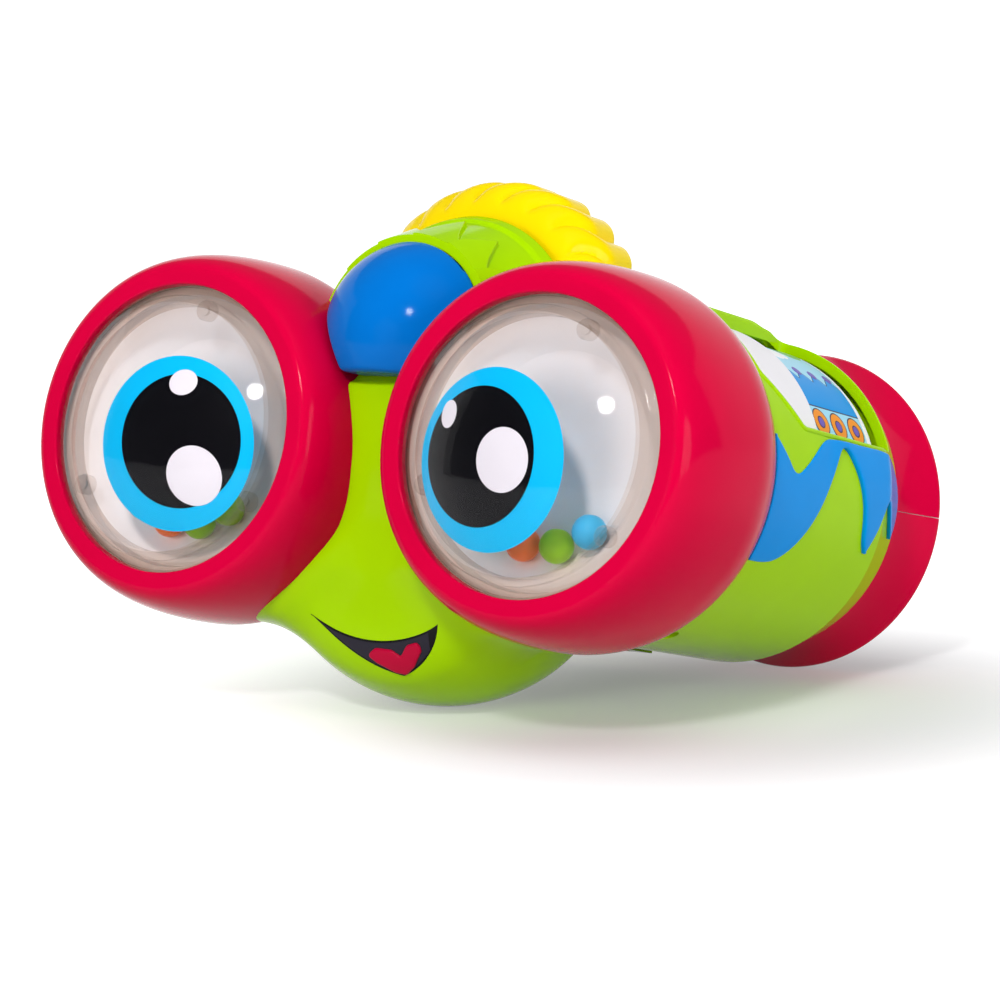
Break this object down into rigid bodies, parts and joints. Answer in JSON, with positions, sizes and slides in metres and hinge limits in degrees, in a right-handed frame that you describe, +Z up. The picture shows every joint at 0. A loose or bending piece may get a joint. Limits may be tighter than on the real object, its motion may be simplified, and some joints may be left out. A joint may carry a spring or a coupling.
{
  "type": "toy binoculars",
  "caption": "Toy binoculars shaped as a smiling face: bead-filled eyes, dome button, ribbed wheel that turns picture drums behind windows, flared eyecups.",
  "frame": {"origin": "centre of the flat under the chin, on which the toy rests together with its two eyecups", "axes": "+X towards the toy's left eye as seen from the front, +Y from the eyes back to the eyecups, +Z up; the barrels run back along +Y and dip by 14.3 degrees, as the toy rests"},
  "size_m": [0.165, 0.126, 0.1069],
  "materials": {
    "lime_plastic": "gloss",
    "crimson_plastic": "gloss",
    "blue_plastic": "gloss",
    "yellow_plastic": "gloss",
    "white_plastic": "satin",
    "clear_plastic": "clear gloss",
    "black_plastic": "satin",
    "tongue_plastic": "gloss",
    "eye_print": "printed gloss",
    "picture_print": "printed satin",
    "bead_plastic": "gloss",
    "spring_steel": "bright",
    "board": "satin"
  },
  "bodies": {
    "toy_body": {"upper_shell": "lime_plastic", "lower_shell": "lime_plastic", "face_shell": "lime_plastic", "mouth_inlay": "black_plastic", "tongue": "tongue_plastic", "bridge_cover": "lime_plastic", "button_spring": "spring_steel", "button_switch": "black_plastic", "wheel_axle": "spring_steel", "click_spring": "spring_steel", "speaker": "black_plastic", "circuit_board": "board", "batteries": "spring_steel", "battery_contacts": "spring_steel", "battery_door": "lime_plastic", "battery_door_screw": "spring_steel", "body_screws": "spring_steel", "power_switch": "spring_steel", "front_bezel_left": "crimson_plastic", "lens_left": "clear_plastic", "eye_film_left": "eye_print", "chamber_dish_left": "white_plastic", "window_liner_left": "white_plastic", "drum_axle_left": "spring_steel", "side_trim_left": "blue_plastic", "rear_cup_upper_left": "crimson_plastic", "rear_cup_lower_left": "crimson_plastic", "eyepiece_lens_left": "clear_plastic", "front_bezel_right": "crimson_plastic", "lens_right": "clear_plastic", "eye_film_right": "eye_print", "chamber_dish_right": "white_plastic", "window_liner_right": "white_plastic", "drum_axle_right": "spring_steel", "side_trim_right": "blue_plastic", "rear_cup_upper_right": "crimson_plastic", "rear_cup_lower_right": "crimson_plastic", "eyepiece_lens_right": "clear_plastic"},
    "wheel": {"focus_wheel": "yellow_plastic"},
    "drum_left": {"picture_drum_left": "white_plastic", "picture_band_left": "picture_print"},
    "drum_right": {"picture_drum_right": "white_plastic", "picture_band_right": "picture_print"},
    "bead_group_left": {"beads_left": "bead_plastic"},
    "bead_group_right": {"beads_right": "bead_plastic"},
    "button": {"dome_button": "blue_plastic"},
    "slider": {"power_slider": "black_plastic"}
  },
  "joints": [
    {"name": "wheel_spin", "type": "hinge", "parent": "toy_body", "child": "wheel", "pos_m": [0, 0.01894, 0.07498], "axis": [0, 0.969, -0.247], "continuous": true},
    {"name": "drum_spin_left", "type": "hinge", "parent": "toy_body", "child": "drum_left", "pos_m": [-0.044, 0.03451, 0.04212], "axis": [0, 0.969, -0.247], "continuous": true},
    {"name": "drum_spin_right", "type": "hinge", "parent": "toy_body", "child": "drum_right", "pos_m": [0.044, 0.03451, 0.04212], "axis": [0, 0.969, -0.247], "continuous": true},
    {"name": "beads_roll_left", "type": "hinge", "parent": "toy_body", "child": "bead_group_left", "pos_m": [-0.044, -0.02751, 0.05793], "axis": [0, 0.969, -0.247], "continuous": true},
    {"name": "beads_roll_right", "type": "hinge", "parent": "toy_body", "child": "bead_group_right", "pos_m": [0.044, -0.02751, 0.05793], "axis": [0, 0.969, -0.247], "continuous": true},
    {"name": "button_press", "type": "slide", "parent": "toy_body", "child": "button", "axis": [0, 0.969, -0.247], "range_m": [0, 0.002], "stiffness_N_per_m": 800, "deforming": ["button_spring"]},
    {"name": "power_slide", "type": "slide", "parent": "toy_body", "child": "slider", "axis": [0, 0.969, -0.247], "range_m": [0, 0.004]}
  ],
  "couplings": [
    {"joint": "drum_spin_left", "follows": "wheel_spin", "ratio": -1.5},
    {"joint": "drum_spin_right", "follows": "wheel_spin", "ratio": -1.5}
  ]
}
